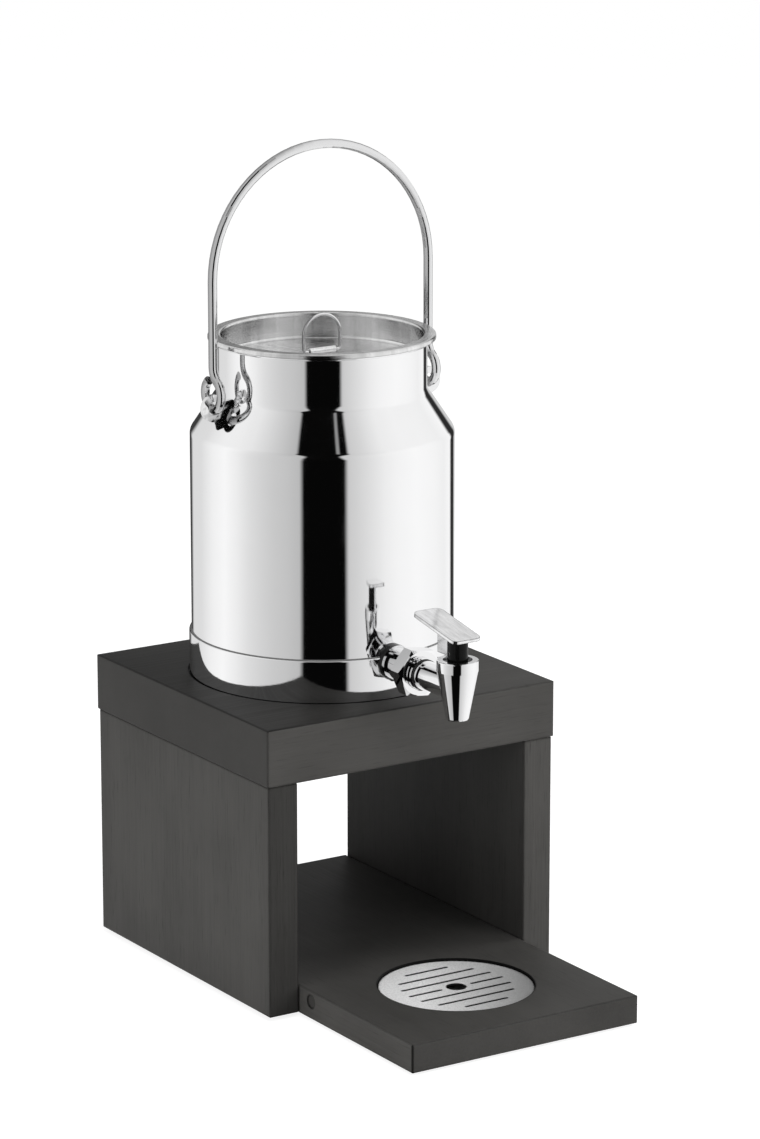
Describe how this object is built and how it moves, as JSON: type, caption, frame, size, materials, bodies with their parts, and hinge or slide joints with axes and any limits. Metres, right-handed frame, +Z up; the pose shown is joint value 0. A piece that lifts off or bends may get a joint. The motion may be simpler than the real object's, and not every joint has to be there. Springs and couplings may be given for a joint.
{
  "type": "milk dispenser",
  "caption": "Stainless steel milk can with lid, bail handle and lever tap, on a dark wooden bridge stand with a sliding drip tray and round slotted grille.",
  "frame": {"origin": "on the floor, under the middle of the whole footprint of stand and drip tray", "axes": "+Z up, -Y to the front, where the tap and the tray point, +X to the right for someone who stands in front"},
  "size_m": [0.22, 0.351, 0.5468],
  "materials": {
    "stained_wood": "dark stained, satin, with a faint grain",
    "stained_plug": "dark stained plug",
    "beech": "plain",
    "black_rubber": "matt",
    "black_plastic": "black, glossy",
    "silicone": "translucent white silicone",
    "polished_steel": "mirror-polished stainless steel",
    "polished_wire": "polished stainless steel wire",
    "polished_tap": "polished stainless steel",
    "polished_lever": "polished stainless steel",
    "brushed_lid": "circular brushed stainless steel",
    "brushed_steel": "brushed stainless steel",
    "satin_steel": "satin stainless steel",
    "spring_steel": "spring steel"
  },
  "bodies": {
    "stand": {"top_board": "stained_wood", "left_side_board": "stained_wood", "right_side_board": "stained_wood", "board_dowels": "beech", "stand_feet": "black_rubber"},
    "tray": {"tray_board": "stained_wood", "tray_feet": "black_rubber", "tray_plugs": "stained_plug"},
    "drip_bowl": {"drip_bowl": "satin_steel"},
    "drip_grille": {"drip_grille": "brushed_steel"},
    "can": {"can_body": "polished_steel", "can_bottom": "satin_steel", "can_neck": "polished_steel", "foot_ring": "polished_steel", "left_ear": "polished_steel", "right_ear": "polished_steel", "outer_gasket": "black_rubber", "inner_gasket": "black_rubber", "back_nut": "satin_steel", "tap_shank": "polished_tap", "union_seal": "silicone", "union_nut": "polished_tap", "tap_collar": "polished_tap", "tap_o_ring": "black_rubber", "tap_body": "polished_tap", "bonnet": "black_plastic", "stem_seal": "black_rubber"},
    "lid": {"lid": "brushed_lid", "lid_bracket": "satin_steel"},
    "lid_ring": {"lid_ring": "polished_wire"},
    "bail": {"bail_handle": "polished_wire"},
    "tap_stem": {"valve_stem": "satin_steel", "seat_seal": "silicone", "valve_spring": "spring_steel"},
    "tap_lever": {"tap_lever": "polished_lever", "lever_hub": "black_plastic", "lever_pin": "satin_steel"}
  },
  "joints": [
    {"name": "tray_slide", "type": "slide", "parent": "stand", "child": "tray", "axis": [0, -1, 0], "range_m": [0, 0.22]},
    {"name": "bowl_lift", "type": "slide", "parent": "tray", "child": "drip_bowl", "axis": [0, 0, 1], "range_m": [0, 0.06]},
    {"name": "grille_lift", "type": "slide", "parent": "drip_bowl", "child": "drip_grille", "axis": [0, 0, 1], "range_m": [0, 0.06]},
    {"name": "can_lift", "type": "slide", "parent": "stand", "child": "can", "axis": [0, 0, 1], "range_m": [0, 0.08]},
    {"name": "lid_lift", "type": "slide", "parent": "can", "child": "lid", "axis": [0, 0, 1], "range_m": [0, 0.06]},
    {"name": "ring_swing", "type": "hinge", "parent": "lid", "child": "lid_ring", "pos_m": [0, 0.0655, 0.40836], "axis": [1, 0, 0], "range_deg": [-90, 90]},
    {"name": "bail_swing", "type": "hinge", "parent": "can", "child": "bail", "pos_m": [0, 0.0655, 0.38849], "axis": [1, 0, 0], "range_deg": [-130, 130]},
    {"name": "stem_lift", "type": "slide", "parent": "can", "child": "tap_stem", "axis": [0, 0, 1], "range_m": [0, 0.0035], "deforming": ["valve_spring"]},
    {"name": "lever_press", "type": "hinge", "parent": "tap_stem", "child": "tap_lever", "pos_m": [0, -0.0951, 0.2415], "axis": [-1, 0, 0], "range_deg": [0, 14], "stiffness_Nm_per_rad": 0.2, "springref_deg": -24.06}
  ],
  "couplings": [
    {"joint": "stem_lift", "follows": "lever_press", "m_per_rad": 0.0143}
  ]
}
